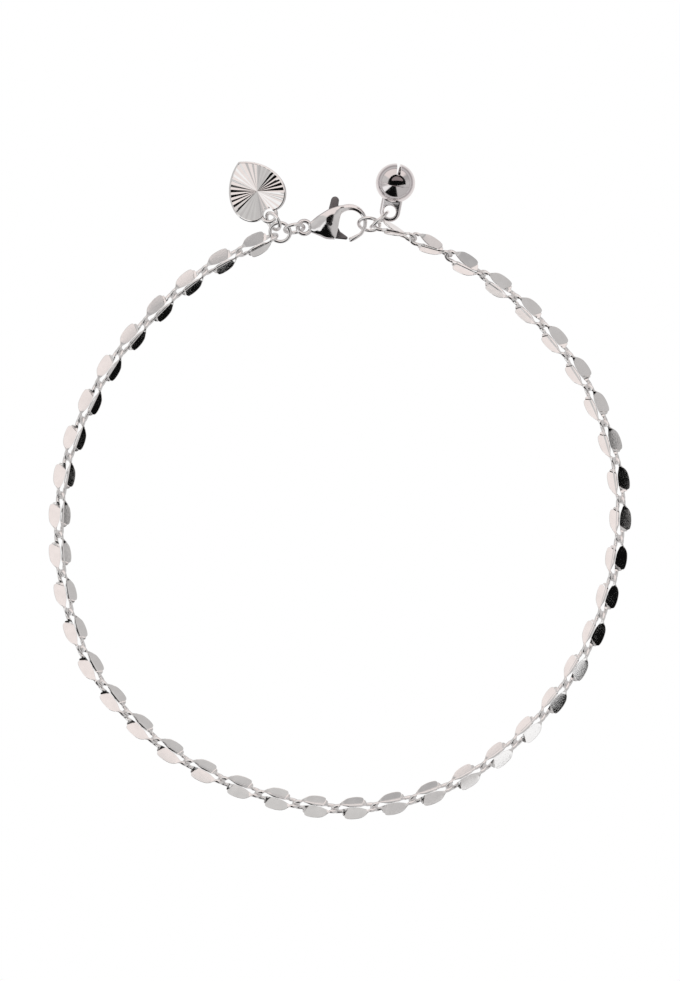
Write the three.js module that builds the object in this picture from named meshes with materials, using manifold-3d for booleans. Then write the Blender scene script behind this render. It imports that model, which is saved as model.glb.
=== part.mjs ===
// A light ankle bracelet lying in a ring on a table: a chain of twisted links with stamped
// petals, closed by a sprung lobster clasp, with a ray-cut heart and a slit bell on jump
// rings. Millimetres, +Z up. The table is z = 0 and the origin is under the ring's middle.

import * as THREE from 'three';
import Module from 'manifold-3d';
import { mergeVertices } from 'three/addons/utils/BufferGeometryUtils.js';

const { degToRad, lerp } = THREE.MathUtils;
const UP = new THREE.Vector3(0, 0, 1);

// ---- Driving dimensions -------------------------------------------------------------------

const LINK_COUNT = 43;
const WIRE_RADIUS = 0.26;       // round wire of the links
const JOINT_GAP = 0.1;          // clear space where the ends of two links cross
const LOOP_RADIUS = 0.8;        // bend of a link's end, at the centre of its wire
const LOOP_TURN = degToRad(45); // each end is turned this far out of the link's own plane
const CORE_OFFSET = 0.38;       // wire centre beside the petals, from the link's middle
const INNER_WIDTH = 0.84;       // width of the inner petal, of the outer one's

const JUMP_WIRE = 0.25;         // wire radius of the jump rings
const RING_SIDES = 6;
const RING_STEPS = 18;

const HEART = { thickness: 0.6, tipY: 4.93, halfWidth: 4.02, widestY: -0.73 };
const HEART_LOBE = { x: 1.5, y: -3.68, notchY: -3.05 };
const HEART_EYE = { y: -3.63, outer: 1.3, inner: 0.8, thickness: 0.5 };

const BELL = {
  radius: 2.75, wall: 0.35, slitWidth: 0.58, slitEnd: 0.98, slitTilt: -12, slitRoll: -15,
};
const BAIL = { reach: 4.1, outer: 1.45, inner: 0.85, thickness: 0.62, root: 2.3 };

const CLASP_EYE = { x: -6.3, y: -0.77, outer: 1.2, inner: 0.62 };
const HOOK_OUTER = { x: 0, y: 0, radius: 2.52 };
const HOOK_INNER = { x: 0.14, y: -0.21, radius: 1.82 };
const LEVER = { x: -2.66, y: -0.28, thickness: 0.6, opens: 25, clearance: 0.12 };
const PIN = { radius: 0.3, length: 1.9, clearance: 0.1 };

// The middle line of the chain, clockwise from the clasp's catch ring to the heart: bearings
// are counterclockwise from +X, heights are above the table, and roll turns the chain about
// its own line, outer side up.
const ROUTE = [
  { bearing: 83.2, radius: 41.32, height: 1.48, roll: -68.5 },
  { bearing: 79.5, radius: 40.72, height: 1.57, roll: -68.5 },
  { bearing: 71.6, radius: 39.92, height: 1.39, roll: -45 },
  { bearing: 63.6, radius: 39.35, height: 1.06, roll: -20 },
  { bearing: 55, radius: 39.1, height: 0.93, roll: -2 },
  { bearing: 45, radius: 38.85, height: 0.84, roll: 0 },
  { bearing: 28, radius: 38.9, height: 0.84, roll: 0 },
  { bearing: 8, radius: 39.05, height: 0.84, roll: 0 },
  { bearing: -10, radius: 38.8, height: 0.84, roll: 0 },
  { bearing: -30, radius: 38.9, height: 0.84, roll: 0 },
  { bearing: -50, radius: 39.6, height: 0.84, roll: 0 },
  { bearing: -70, radius: 40.55, height: 0.84, roll: 0 },
  { bearing: -90, radius: 40.75, height: 0.84, roll: 0 },
  { bearing: -110, radius: 40.35, height: 0.84, roll: 0 },
  { bearing: -130, radius: 40.65, height: 0.84, roll: 0 },
  { bearing: -150, radius: 40.8, height: 0.84, roll: 0 },
  { bearing: -170, radius: 39.85, height: 0.84, roll: 0 },
  { bearing: -190, radius: 39.2, height: 0.84, roll: 0 },
  { bearing: -210, radius: 38.65, height: 0.84, roll: 0 },
  { bearing: -225, radius: 38.6, height: 0.84, roll: 0 },
  { bearing: -240, radius: 39.3, height: 0.86, roll: -3 },
  { bearing: -252.7, radius: 39.98, height: 0.91, roll: -9 },
  { bearing: -256.6, radius: 40.28, height: 0.95, roll: -9 },
];

// One long side of a link, walked along its length: spread 0 is round wire and 1 is the
// full petal. The petal tapers in slowly and ends bluntly.
const PETAL = [
  { along: -1.7, spread: 0.2 },
  { along: -1.0, spread: 0.85 },
  { along: 0, spread: 1 },
  { along: 0.7, spread: 0.95 },
  { along: 1.3, spread: 0.7 },
  { along: 1.5, spread: 0 },
];

// Section of a full petal: out from the wire's centre, and up. The wire's core stays as a
// ridge under the flat blade.
const PETAL_SECTION = [
  { out: 1.24, up: 0 },
  { out: 0.95, up: 0.1 },
  { out: -0.16, up: 0.12 },
  { out: -0.26, up: -0.1 },
  { out: -0.1, up: -0.34 },
  { out: 0.22, up: -0.2 },
];

// Jump rings: centre, heading and pitch of the long way of the ring, and roll about it.
const JUMP_RINGS = [
  { name: 'catch_ring', x: 3.83, y: 40.97, z: 1.5, radius: 1.48, heading: -2, pitch: -8, roll: 55 },
  { name: 'bell_ring', x: 5.26, y: 41.63, z: 1.83, radius: 1.55, heading: 42, pitch: -1, roll: 91 },
  { name: 'clasp_ring', x: -6.65, y: 40.37, z: 1.54, radius: 1.34, heading: 11, pitch: -5, roll: 67 },
  { name: 'chain_end_ring', x: -8.64, y: 39.87, z: 1.2, radius: 1.4, heading: 4, pitch: -7, roll: 20 },
  { name: 'heart_ring', x: -9.6, y: 41.39, z: 1.6, radius: 1.3, heading: -57, pitch: 0, roll: 58 },
];

const HEART_PLACE = { x: -11.94, y: 45.46, z: 0.73, roll: -6.7, pitch: -8, heading: 30.9 };
const BELL_PLACE = { x: 7.5, y: 46.7, z: 2.75, roll: 12, pitch: 11.3, heading: -100.8 };
const CLASP_PLACE = { x: 1.05, y: 41.3, z: 1.45 };

// The lever as round-ended bars from its hub, measured from the pivot.
const LEVER_HUB = { x: 0, y: 0, radius: 0.75 };
const LEVER_TAB = { x: 0.66, y: 3.28, radius: 0.56 };
const LEVER_ELBOW = { x: 0.91, y: -1.47, radius: 0.6 };
const LEVER_NOSE = { x: 2.19, y: -1.96, radius: 0.24 };

// ---- Finishes -----------------------------------------------------------------------------

const silver = new THREE.MeshStandardMaterial({ color: 0xd9d7d6, roughness: 0.12, metalness: 1 });
const heartSilver = new THREE.MeshStandardMaterial({ color: 0xd2d0cf, roughness: 0.2, metalness: 1 });
const leverSteel = new THREE.MeshStandardMaterial({ color: 0x8f8d8c, roughness: 0.25, metalness: 1 });

// ---- Solids and booleans ------------------------------------------------------------------

const wasm = await Module();
wasm.setup();

function toSolid(geometry) {
  const bare = geometry.clone();
  bare.deleteAttribute('normal');
  bare.deleteAttribute('uv');
  const merged = mergeVertices(bare, 1e-5);
  const vertProperties = new Float32Array(merged.attributes.position.array);
  const triVerts = new Uint32Array(merged.index.array);
  return new wasm.Manifold(new wasm.Mesh({ numProp: 3, vertProperties, triVerts }));
}

function toGeometry(solid) {
  const mesh = solid.getMesh();
  const geometry = new THREE.BufferGeometry();
  geometry.setAttribute('position', new THREE.BufferAttribute(new Float32Array(mesh.vertProperties), 3));
  geometry.setIndex(new THREE.BufferAttribute(new Uint32Array(mesh.triVerts), 1));
  geometry.computeVertexNormals();
  return geometry;
}

// A flat plate of a given outline, centred on z = 0.
function plate(shape, thickness, curveSegments) {
  const geometry = new THREE.ExtrudeGeometry(shape, { depth: thickness, bevelEnabled: false, curveSegments });
  return geometry.translate(0, 0, -thickness / 2);
}

function annulus(x, y, outer, inner) {
  const shape = new THREE.Shape();
  shape.absarc(x, y, outer, 0, 2 * Math.PI);
  const hole = new THREE.Path();
  hole.absarc(x, y, inner, 0, 2 * Math.PI, true);
  shape.holes.push(hole);
  return shape;
}

// A rod along Z, centred on z = 0.
function rod(x, y, radius, length) {
  return new THREE.CylinderGeometry(radius, radius, length, 12).rotateX(Math.PI / 2).translate(x, y, 0);
}

function addPiece(group, name, geometry, material) {
  const mesh = new THREE.Mesh(geometry, material);
  mesh.name = name;
  group.add(mesh);
  return mesh;
}

function place(object, spot) {
  object.position.set(spot.x, spot.y, spot.z);
  const roll = degToRad(spot.roll ?? 0);
  object.rotation.set(roll, degToRad(spot.pitch ?? 0), degToRad(spot.heading ?? 0), 'ZYX');
}

// ---- Chain --------------------------------------------------------------------------------

const routePoints = ROUTE.map(({ bearing, radius, height }) => {
  const angle = degToRad(bearing);
  return new THREE.Vector3(radius * Math.cos(angle), radius * Math.sin(angle), height);
});
const route = new THREE.CatmullRomCurve3(routePoints);
route.arcLengthDivisions = 2000;

function rollAt(u) {
  const step = route.getUtoTmapping(u) * (ROUTE.length - 1);
  const row = Math.min(Math.floor(step), ROUTE.length - 2);
  return degToRad(lerp(ROUTE[row].roll, ROUTE[row + 1].roll, step - row));
}

// Frames along one half of a link, from its back end over the outer petal and round the
// front end. Each has the wire's centre, the directions out and up of its section, and
// how far the wire is spread into the petal.
function halfLink(loopX) {
  const sideY = LOOP_RADIUS * Math.cos(LOOP_TURN);
  const sideZ = LOOP_RADIUS * Math.sin(LOOP_TURN);
  const lean = Math.atan2(sideZ, loopX);
  const petalFrames = PETAL.map(({ along, spread }) => {
    const turn = -LOOP_TURN * (along / loopX) * (1 - spread);
    const nearness = Math.min(1, (loopX - Math.abs(along)) / (loopX - 1.5));
    return {
      centre: new THREE.Vector3(along, lerp(sideY, CORE_OFFSET, nearness), -along * Math.tan(lean)),
      out: new THREE.Vector3(0, Math.cos(turn), Math.sin(turn)),
      up: new THREE.Vector3(Math.sin(lean), -Math.sin(turn), Math.cos(lean)).normalize(),
      spread,
    };
  });
  const across = new THREE.Vector3(0, Math.cos(LOOP_TURN), -Math.sin(LOOP_TURN));
  const endFrames = [90, 45, 0, -45, -90].map((degrees) => {
    const angle = degToRad(degrees);
    const out = new THREE.Vector3(Math.cos(angle), 0, 0).addScaledVector(across, Math.sin(angle));
    return {
      centre: out.clone().multiplyScalar(LOOP_RADIUS).add(new THREE.Vector3(loopX, 0, 0)),
      out,
      up: new THREE.Vector3(0, Math.sin(LOOP_TURN), Math.cos(LOOP_TURN)),
      spread: 0,
    };
  });
  return [...petalFrames, ...endFrames];
}

// A corner of the six-sided section. The inner petal is narrower and is flipped, so that
// its ridge is on top.
function sectionCorner(index, spread, side) {
  const angle = (index * Math.PI) / 3;
  const corner = PETAL_SECTION[side > 0 ? index : (6 - index) % 6];
  const width = side > 0 || corner.out < 0 ? 1 : INNER_WIDTH;
  return {
    out: lerp(WIRE_RADIUS * Math.cos(angle), corner.out * width, spread),
    up: lerp(WIRE_RADIUS * Math.sin(angle), corner.up * side, spread),
  };
}

function linkGeometry(pitch) {
  const loopX = (pitch + 2 * WIRE_RADIUS + JOINT_GAP) / 2 - LOOP_RADIUS;
  const half = halfLink(loopX);
  const turned = half.map((frame) => ({ ...frame, side: 1 }));
  for (const frame of half) {
    const flip = new THREE.Vector3(-1, -1, 1);
    turned.push({
      centre: frame.centre.clone().multiply(flip),
      out: frame.out.clone().multiply(flip),
      up: frame.up.clone().multiply(flip),
      spread: frame.spread,
      side: -1,
    });
  }
  turned.reverse();
  const geometry = new THREE.TorusGeometry(1, 0.1, 6, turned.length);
  const position = geometry.attributes.position;
  for (let corner = 0; corner <= 6; corner += 1) {
    for (let step = 0; step <= turned.length; step += 1) {
      const frame = turned[step % turned.length];
      const { out, up } = sectionCorner(corner % 6, frame.spread, frame.side);
      const point = frame.centre.clone().addScaledVector(frame.out, out).addScaledVector(frame.up, up);
      position.setXYZ(corner * (turned.length + 1) + step, point.x, point.y, point.z);
    }
  }
  geometry.computeVertexNormals();
  return geometry;
}

function addChain(group) {
  const pitch = route.getLength() / LINK_COUNT;
  const geometry = linkGeometry(pitch);
  for (let i = 0; i < LINK_COUNT; i += 1) {
    const u = (i + 0.5) / LINK_COUNT;
    const along = route.getTangentAt(u);
    const outward = new THREE.Vector3().crossVectors(UP, along).normalize();
    const above = new THREE.Vector3().crossVectors(along, outward);
    const link = addPiece(group, `link_${String(i + 1).padStart(2, '0')}`, geometry, silver);
    link.quaternion.setFromRotationMatrix(new THREE.Matrix4().makeBasis(along, outward, above));
    link.rotateX(rollAt(u));
    link.position.copy(route.getPointAt(u));
  }
}

function addJumpRings(group) {
  for (const spot of JUMP_RINGS) {
    const geometry = new THREE.TorusGeometry(spot.radius, JUMP_WIRE, RING_SIDES, RING_STEPS);
    place(addPiece(group, spot.name, geometry, silver), spot);
  }
}

// ---- Heart --------------------------------------------------------------------------------

function heartOutline() {
  const { tipY, halfWidth, widestY } = HEART;
  const { x: lobeX, y: lobeY, notchY } = HEART_LOBE;
  const shape = new THREE.Shape();
  shape.moveTo(0, tipY);
  for (const side of [-1, 1]) {
    const path = [
      [1.95 * side, tipY - 0.78, halfWidth * side, widestY + 2.73, halfWidth * side, widestY],
      [halfWidth * side, widestY - 1.47, (lobeX + 1.4) * side, lobeY, lobeX * side, lobeY],
      [(lobeX - 0.6) * side, lobeY, 0.35 * side, notchY - 0.35, 0, notchY],
    ];
    if (side < 0) {
      path.forEach((curve) => shape.bezierCurveTo(...curve));
    } else {
      path.reverse().forEach(([ax, ay, bx, by, x, y], i) => {
        const end = i < 2 ? path[i + 1].slice(4) : [0, tipY];
        shape.bezierCurveTo(bx, by, ax, ay, ...end);
      });
    }
  }
  return shape;
}

function addHeart(group) {
  const blade = toSolid(plate(heartOutline(), HEART.thickness, 5));
  const eye = toSolid(plate(annulus(0, HEART_EYE.y, HEART_EYE.outer, HEART_EYE.inner), HEART_EYE.thickness, 8));
  const hole = toSolid(rod(0, HEART_EYE.y, HEART_EYE.inner, 2 * HEART.thickness));
  const solid = blade.add(eye).subtract(hole);
  const geometry = toGeometry(solid).translate(0, 0, HEART.thickness / 2);
  place(addPiece(group, 'heart_charm', geometry, heartSilver), HEART_PLACE);
}

// ---- Bell ---------------------------------------------------------------------------------

// The bail points along +X. The slit is cut from the far pole, a little turned from the bell's
// XZ plane, and ends short of the middle at a slant.
function addBell(group) {
  const shell = toSolid(new THREE.SphereGeometry(BELL.radius, 20, 12));
  const hollow = toSolid(new THREE.SphereGeometry(BELL.radius - BELL.wall, 20, 12));
  const slitX = -BELL.slitEnd - BELL.radius;
  const slit = new THREE.BoxGeometry(2 * BELL.radius, BELL.slitWidth, 3 * BELL.radius);
  slit.translate(slitX, 0, 0).rotateY(degToRad(BELL.slitTilt)).rotateX(degToRad(BELL.slitRoll));
  const strap = new THREE.Shape();
  strap.moveTo(BAIL.root, BAIL.outer);
  strap.lineTo(BAIL.root, -BAIL.outer);
  strap.absarc(BAIL.reach, 0, BAIL.outer, -Math.PI / 2, Math.PI / 2);
  const eye = new THREE.Path();
  eye.absarc(BAIL.reach, 0, BAIL.inner, 0, 2 * Math.PI, true);
  strap.holes.push(eye);
  const bail = toSolid(plate(strap, BAIL.thickness, 6));
  const solid = shell.add(bail).subtract(hollow).subtract(toSolid(slit));
  place(addPiece(group, 'bell', toGeometry(solid), silver), BELL_PLACE);
}

// ---- Clasp --------------------------------------------------------------------------------

function claspOutline() {
  const shape = new THREE.Shape();
  shape.moveTo(-5.3, 0.1);
  shape.splineThru([
    new THREE.Vector2(-4.13, 1.04),
    new THREE.Vector2(-3.15, 1.71),
    new THREE.Vector2(-2.17, 2.13),
    new THREE.Vector2(-0.86, 2.37),
  ]);
  shape.absarc(HOOK_OUTER.x, HOOK_OUTER.y, HOOK_OUTER.radius, degToRad(108), degToRad(-20), true);
  shape.splineThru([
    new THREE.Vector2(1.89, -1.75),
    new THREE.Vector2(1.05, -2.38),
    new THREE.Vector2(0.14, -2.84),
  ]);
  shape.lineTo(-0.22, -2.6);
  shape.lineTo(0, -2.22);
  shape.splineThru([new THREE.Vector2(0.63, -1.93), new THREE.Vector2(1.4, -1.54)]);
  shape.absarc(HOOK_INNER.x, HOOK_INNER.y, HOOK_INNER.radius, degToRad(-25), degToRad(180), false);
  shape.lineTo(-1.69, -2.35);
  shape.splineThru([
    new THREE.Vector2(-2.31, -2.44),
    new THREE.Vector2(-3.29, -2.34),
    new THREE.Vector2(-4.13, -1.96),
    new THREE.Vector2(-5.3, -1.5),
  ]);
  return shape;
}

// The clasp seen from its edge: thin at the eye and the hook, full over the lever.
function claspSideProfile() {
  const halves = [
    { x: -8, half: 0.38 },
    { x: -5.4, half: 0.42 },
    { x: -4.4, half: 0.85 },
    { x: -3.2, half: 1 },
    { x: -1.5, half: 1 },
    { x: -0.3, half: 0.6 },
    { x: 1, half: 0.48 },
    { x: 3, half: 0.42 },
  ];
  const upper = halves.map(({ x, half }) => new THREE.Vector2(x, half));
  const lower = halves.map(({ x, half }) => new THREE.Vector2(x, -half)).reverse();
  return new THREE.Shape([...upper, ...lower]);
}

// A bar with round ends of two sizes, as an outline.
function taperedBar(from, to, grow) {
  const heading = Math.atan2(to.y - from.y, to.x - from.x);
  const length = Math.hypot(to.y - from.y, to.x - from.x);
  const spread = Math.acos((from.radius - to.radius) / length);
  const shape = new THREE.Shape();
  shape.absarc(from.x, from.y, from.radius + grow, heading + spread, heading + 2 * Math.PI - spread);
  shape.absarc(to.x, to.y, to.radius + grow, heading - spread, heading + spread);
  return shape;
}

function leverSolid(grow, curveSegments) {
  const bars = [[LEVER_HUB, LEVER_TAB], [LEVER_HUB, LEVER_ELBOW], [LEVER_ELBOW, LEVER_NOSE]];
  return bars
    .map(([from, to]) => toSolid(plate(taperedBar(from, to, grow), LEVER.thickness + 2 * grow, curveSegments)))
    .reduce((whole, bar) => whole.add(bar));
}

function addClasp(group) {
  const clasp = new THREE.Group();
  place(clasp, CLASP_PLACE);
  group.add(clasp);

  const profile = plate(claspSideProfile(), 12, 1).rotateX(Math.PI / 2);
  const eye = annulus(CLASP_EYE.x, CLASP_EYE.y, CLASP_EYE.outer, CLASP_EYE.inner);
  let body = toSolid(plate(claspOutline(), 4, 3)).add(toSolid(plate(eye, 4, 6)));
  body = body.subtract(toSolid(rod(CLASP_EYE.x, CLASP_EYE.y, CLASP_EYE.inner, 5))).intersect(toSolid(profile));
  for (let angle = 0; angle <= LEVER.opens; angle += LEVER.opens / 2) {
    const swept = leverSolid(LEVER.clearance, 2).rotate([0, 0, angle]).translate([LEVER.x, LEVER.y, 0]);
    body = body.subtract(swept);
  }
  const bore = toSolid(rod(LEVER.x, LEVER.y, PIN.radius + PIN.clearance, 4));
  addPiece(clasp, 'clasp_body', toGeometry(body.subtract(bore)), silver);

  const leverBore = toSolid(rod(0, 0, PIN.radius + PIN.clearance, 4));
  const lever = addPiece(clasp, 'clasp_lever', toGeometry(leverSolid(0, 3).subtract(leverBore)), leverSteel);
  lever.position.set(LEVER.x, LEVER.y, 0);

  addPiece(clasp, 'clasp_pin', rod(LEVER.x, LEVER.y, PIN.radius, PIN.length), silver);
}

// ---- Assembly -----------------------------------------------------------------------------

const group = new THREE.Group();
addChain(group);
addJumpRings(group);
addHeart(group);
addBell(group);
addClasp(group);

// The origin goes under the middle of the whole outline, on the table.
const bounds = new THREE.Box3().setFromObject(group, true);
const middle = bounds.getCenter(new THREE.Vector3());
group.position.set(-middle.x, -middle.y, -bounds.min.z);

export default group;
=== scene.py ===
"""A silver ankle bracelet lying in a ring: petal links, jump rings, a lobster clasp, a
ray-cut heart and a slit bell, built around the fixed frame of the same bracelet."""

import math
import random

import bpy
import numpy as np
from bpy.props import FloatProperty, FloatVectorProperty, IntProperty, PointerProperty
from mathutils import Matrix, Vector


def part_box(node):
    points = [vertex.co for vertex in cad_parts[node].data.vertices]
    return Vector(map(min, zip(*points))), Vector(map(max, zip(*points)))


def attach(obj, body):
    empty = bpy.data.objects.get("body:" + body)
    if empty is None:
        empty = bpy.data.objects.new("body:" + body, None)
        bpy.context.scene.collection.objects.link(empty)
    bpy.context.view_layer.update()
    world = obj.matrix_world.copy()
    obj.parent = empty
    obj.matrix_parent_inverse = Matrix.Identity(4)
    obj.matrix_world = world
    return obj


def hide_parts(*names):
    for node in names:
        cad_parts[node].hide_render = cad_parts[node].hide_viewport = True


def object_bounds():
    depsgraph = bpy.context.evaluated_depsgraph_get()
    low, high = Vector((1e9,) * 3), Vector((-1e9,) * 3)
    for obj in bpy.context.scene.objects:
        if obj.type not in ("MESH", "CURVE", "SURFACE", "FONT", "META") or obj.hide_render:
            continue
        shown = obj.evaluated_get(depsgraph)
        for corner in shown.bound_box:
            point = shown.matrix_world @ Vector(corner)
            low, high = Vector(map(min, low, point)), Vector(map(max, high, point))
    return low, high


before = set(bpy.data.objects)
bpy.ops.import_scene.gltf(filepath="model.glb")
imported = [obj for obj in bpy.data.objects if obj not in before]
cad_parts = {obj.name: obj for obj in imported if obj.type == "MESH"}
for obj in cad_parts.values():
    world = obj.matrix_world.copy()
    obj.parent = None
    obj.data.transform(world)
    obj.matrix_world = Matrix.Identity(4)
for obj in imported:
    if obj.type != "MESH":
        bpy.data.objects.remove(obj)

bl_info = {
    "name": "Petal chain ankle bracelet",
    "version": (1, 0, 0),
    "blender": (4, 5, 0),
    "location": "3D View > Sidebar > Bracelet",
    "description": "Builds a petal chain ankle bracelet with a heart, a slit bell and a clasp",
    "category": "Add Mesh",
}

MM = 0.001
LINK_NODES = sorted(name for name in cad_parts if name.startswith("link_"))
RING_NODES = ["catch_ring", "bell_ring", "clasp_ring", "chain_end_ring", "heart_ring"]
CAD_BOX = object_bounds()
X, Y, Z = Vector((1, 0, 0)), Vector((0, 1, 0)), Vector((0, 0, 1))


# ---- Sizes and colours a user may change ----


def length_mm(label, help_text, value):
    return FloatProperty(
        name=label, description=help_text, default=value * MM, unit="LENGTH", precision=5
    )


def angle(label, help_text, degrees):
    return FloatProperty(
        name=label, description=help_text, default=math.radians(degrees), subtype="ANGLE"
    )


def share(label, help_text, value):
    return FloatProperty(
        name=label, description=help_text, default=value, min=0.0, max=1.0, subtype="FACTOR"
    )


def colour(label, help_text, value):
    return FloatVectorProperty(
        name=label, description=help_text, default=value, size=3, min=0.0, max=4.0,
        subtype="COLOR",
    )


class ChainSettings(bpy.types.PropertyGroup):
    wire: length_mm("Wire radius", "Radius of the links' round wire", 0.26)
    loop: length_mm("Loop radius", "Bend of a link's end at the middle of its wire", 0.7)
    loop_turn: angle("Loop turn", "How far each end is turned out of the link's plane", 54)
    core: length_mm("Core offset", "Wire's middle from the link's own line", 0.38)
    lift: length_mm("Face height", "Petal's flat face above the wire's middle", 0.12)
    blade: length_mm("Blade thickness", "Thickness of the rolled petal", 0.13)
    crown: length_mm("Crown", "How much a petal's face is domed", 0.006)
    slant: share("Blunt end slant", "How far a petal's blunt end is cut at a slant", 0.55)
    inner: share("Inner petal", "Length of the inner petal, of the outer one's", 0.95)
    roll: angle("Roll", "How far each link's face is turned to the bracelet's middle", 3.3)
    unevenness: angle("Unevenness", "Largest turn of one petal from its neighbours", 1.6)
    seed: IntProperty(name="Seed", description="Seed of the unevenness", default=11)


class RingSettings(bpy.types.PropertyGroup):
    wire: length_mm("Wire radius", "Radius of the jump rings' wire", 0.25)
    cut: angle("Cut", "Opening left by the saw where the ring is closed", 1.2)


class HeartSettings(bpy.types.PropertyGroup):
    thickness: length_mm("Thickness", "Thickness of the plate", 0.6)
    rays: IntProperty(name="Rays", description="Number of cuts in the fan", default=32)
    slope: angle("Cut slope", "Slope of a cut's steep side", 20)
    rim: length_mm("Rim", "Plain border outside the cuts", 0.26)
    eye: length_mm("Eye wire", "Wire radius of the soldered eye", 0.25)
    seed: IntProperty(name="Seed", description="Seed of the hand-cut unevenness", default=5)


class BellSettings(bpy.types.PropertyGroup):
    radius: length_mm("Radius", "Outside radius of the bell", 2.75)
    wall: length_mm("Wall", "Thickness of the shell", 0.35)
    slit: length_mm("Slit width", "Width of the slit", 0.58)
    slit_end: length_mm("Slit end", "How far from the bell's middle the slit stops", 0.98)
    slit_tilt: angle("Slit tilt", "Slant of the slit's end wall", -12)
    slit_roll: angle("Slit roll", "Turn of the slit from the bail's edge", -15)
    seam: length_mm("Seam depth", "Depth of the seam between the two halves", 0.035)


class ClaspSettings(bpy.types.PropertyGroup):
    eye_wire: length_mm("Eye wire", "Half the width of the clasp's eye", 0.29)
    lever: length_mm("Lever thickness", "Thickness of the lever", 0.6)
    clearance: length_mm("Clearance", "Room round the lever in its slot", 0.1)
    opens: angle("Opening", "How far the lever opens", 25)
    bore: length_mm("Bore radius", "Radius of the hole for the rivet", 0.305)
    rivet: length_mm("Rivet radius", "Radius of the rivet", 0.3)


class FinishSettings(bpy.types.PropertyGroup):
    silver: colour("Silver", "Bright silver of the chain and rings", (0.88, 0.87, 0.865))
    heart: colour("Heart", "Silver of the heart", (0.86, 0.85, 0.845))
    clasp: colour("Clasp", "Silver of the clasp", (0.84, 0.825, 0.825))
    bell: colour("Bell", "Silver of the bell", (0.78, 0.75, 0.755))
    lever: colour("Lever", "Darker steel of the lever", (0.17, 0.16, 0.165))


class StudioSettings(bpy.types.PropertyGroup):
    panel: colour("Panel", "Warm white panel beyond the clasp", (0.95, 0.87, 0.845))
    side: colour("Sides", "Grey walls at both sides", (0.58, 0.565, 0.56))
    soft: colour("Soft side", "Slightly darker wall", (0.47, 0.46, 0.46))
    pale: colour("Pale side", "Slightly lighter wall", (0.66, 0.65, 0.64))
    bright: colour("Bright edge", "Bright edge of the panel's wall", (1.05, 1.05, 1.05))
    gap: colour("Dark gap", "Dark gap where the light stops", (0.004, 0.004, 0.004))
    # The window glows grey in a card that glows near black over the bell, hidden from the camera:
    # painted reflections on the bell's top.
    window: colour("Window", "Grey window in the card over the bell", (0.3, 0.25, 0.25))
    floor: colour("Floor", "Pale floor as the silver sees it", (0.62, 0.605, 0.605))
    # The floor glows. In the silver's reflections it shows a painted pool of light close round the
    # bell, and painted shade round that and far away.
    painted_light_floor: colour("Lit floor", "The floor close round the bell", (0.9, 0.86, 0.85))
    painted_shade_floor: colour("Dim floor", "The floor round that, and far away", (0.42, 0.385, 0.39))
    lens: FloatProperty(name="Lens", description="Focal length in millimetres", default=400.0)
    field: length_mm("Field", "Height of the field of view at the chain", 137.3)
    chain_height: length_mm("Chain height", "Height at which the field is measured", 1.0)


# ---- Small maths ----


def lerp(a, b, t):
    return a + (b - a) * t


def smoothstep(low, high, value):
    t = min(1.0, max(0.0, (value - low) / (high - low)))
    return t * t * (3 - 2 * t)


def hermite(t, start, start_slope, end, end_slope):
    """A cubic from start to end, with its slopes for a step of 1."""
    back = 1 - t
    return (
        start * back * back * (1 + 2 * t)
        + start_slope * t * back * back
        + end * t * t * (3 - 2 * t)
        - end_slope * t * t * back
    )


def curve_through(rows, at):
    """A smooth value from rows of (place, value), held level past both ends."""
    if at <= rows[0][0]:
        return rows[0][1]
    if at >= rows[-1][0]:
        return rows[-1][1]
    i = max(k for k in range(len(rows) - 1) if rows[k][0] <= at)
    (x0, y0), (x1, y1) = rows[i], rows[i + 1]
    before, after = rows[max(i - 1, 0)], rows[min(i + 2, len(rows) - 1)]
    slope0 = (y1 - before[1]) / (x1 - before[0])
    slope1 = (after[1] - y0) / (after[0] - x0)
    span = x1 - x0
    return hermite((at - x0) / span, y0, slope0 * span, y1, slope1 * span)


def flat(turn):
    """The level direction at an angle from +X."""
    return Vector((math.cos(turn), math.sin(turn), 0))


def turns_round(steps):
    return [2 * math.pi * step / steps for step in range(steps)]


def span(points, axis):
    """The lowest and the highest reach of some points along an axis."""
    reaches = [p.dot(axis) for p in points]
    return min(reaches), max(reaches)


def bezier(a, b, c, d, steps):
    """Points of a cubic curve after its start."""
    points = []
    for i in range(1, steps + 1):
        t = i / steps
        s = 1 - t
        points.append(a * s**3 + b * 3 * s * s * t + c * 3 * s * t * t + d * t**3)
    return points


# ---- Meshes ----


def grid_faces(rows, columns, close_rows=False):
    """Quads over rows of points that each close on themselves."""
    faces = []
    for r in range(rows if close_rows else rows - 1):
        for c in range(columns):
            right = (c + 1) % columns
            below = (r + 1) % rows
            faces.append(
                (r * columns + c, below * columns + c, below * columns + right, r * columns + right)
            )
    return faces


# Edges that turn by more degrees than this are sharp, by the kind of piece.
SHARP = {"link": 24, "ring": 40, "heart": 20, "bell": 28, "clasp": 40, "tool": 30}


def sharpen(mesh, kind):
    mesh.set_sharp_from_angle(angle=math.radians(SHARP[kind]))


def make_mesh(name, points, faces, kind="tool"):
    """A mesh from points in millimetres, with its faces turned outwards."""
    mesh = bpy.data.meshes.new(name)
    mesh.from_pydata([Vector(p) * MM for p in points], [], faces)
    mesh.validate()
    turn_outwards(mesh)
    mesh.shade_smooth()
    sharpen(mesh, kind)
    return mesh


def turn_outwards(mesh):
    """Flips the whole of a closed mesh if its volume comes out negative."""
    mesh.calc_loop_triangles()
    volume = 0.0
    for triangle in mesh.loop_triangles:
        a, b, c = (mesh.vertices[i].co for i in triangle.vertices)
        volume += a.dot(b.cross(c))
    if volume < 0:
        mesh.flip_normals()


def loft(name, sections, closed=False, kind="tool"):
    """A solid through closed sections. An open one gets a flat cap at each end."""
    columns = len(sections[0])
    points = [p for section in sections for p in section]
    faces = grid_faces(len(sections), columns, closed)
    if not closed:
        faces.append(tuple(range(columns)))
        last = len(points) - columns
        faces.append(tuple(last + c for c in reversed(range(columns))))
    return make_mesh(name, points, faces, kind)


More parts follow.
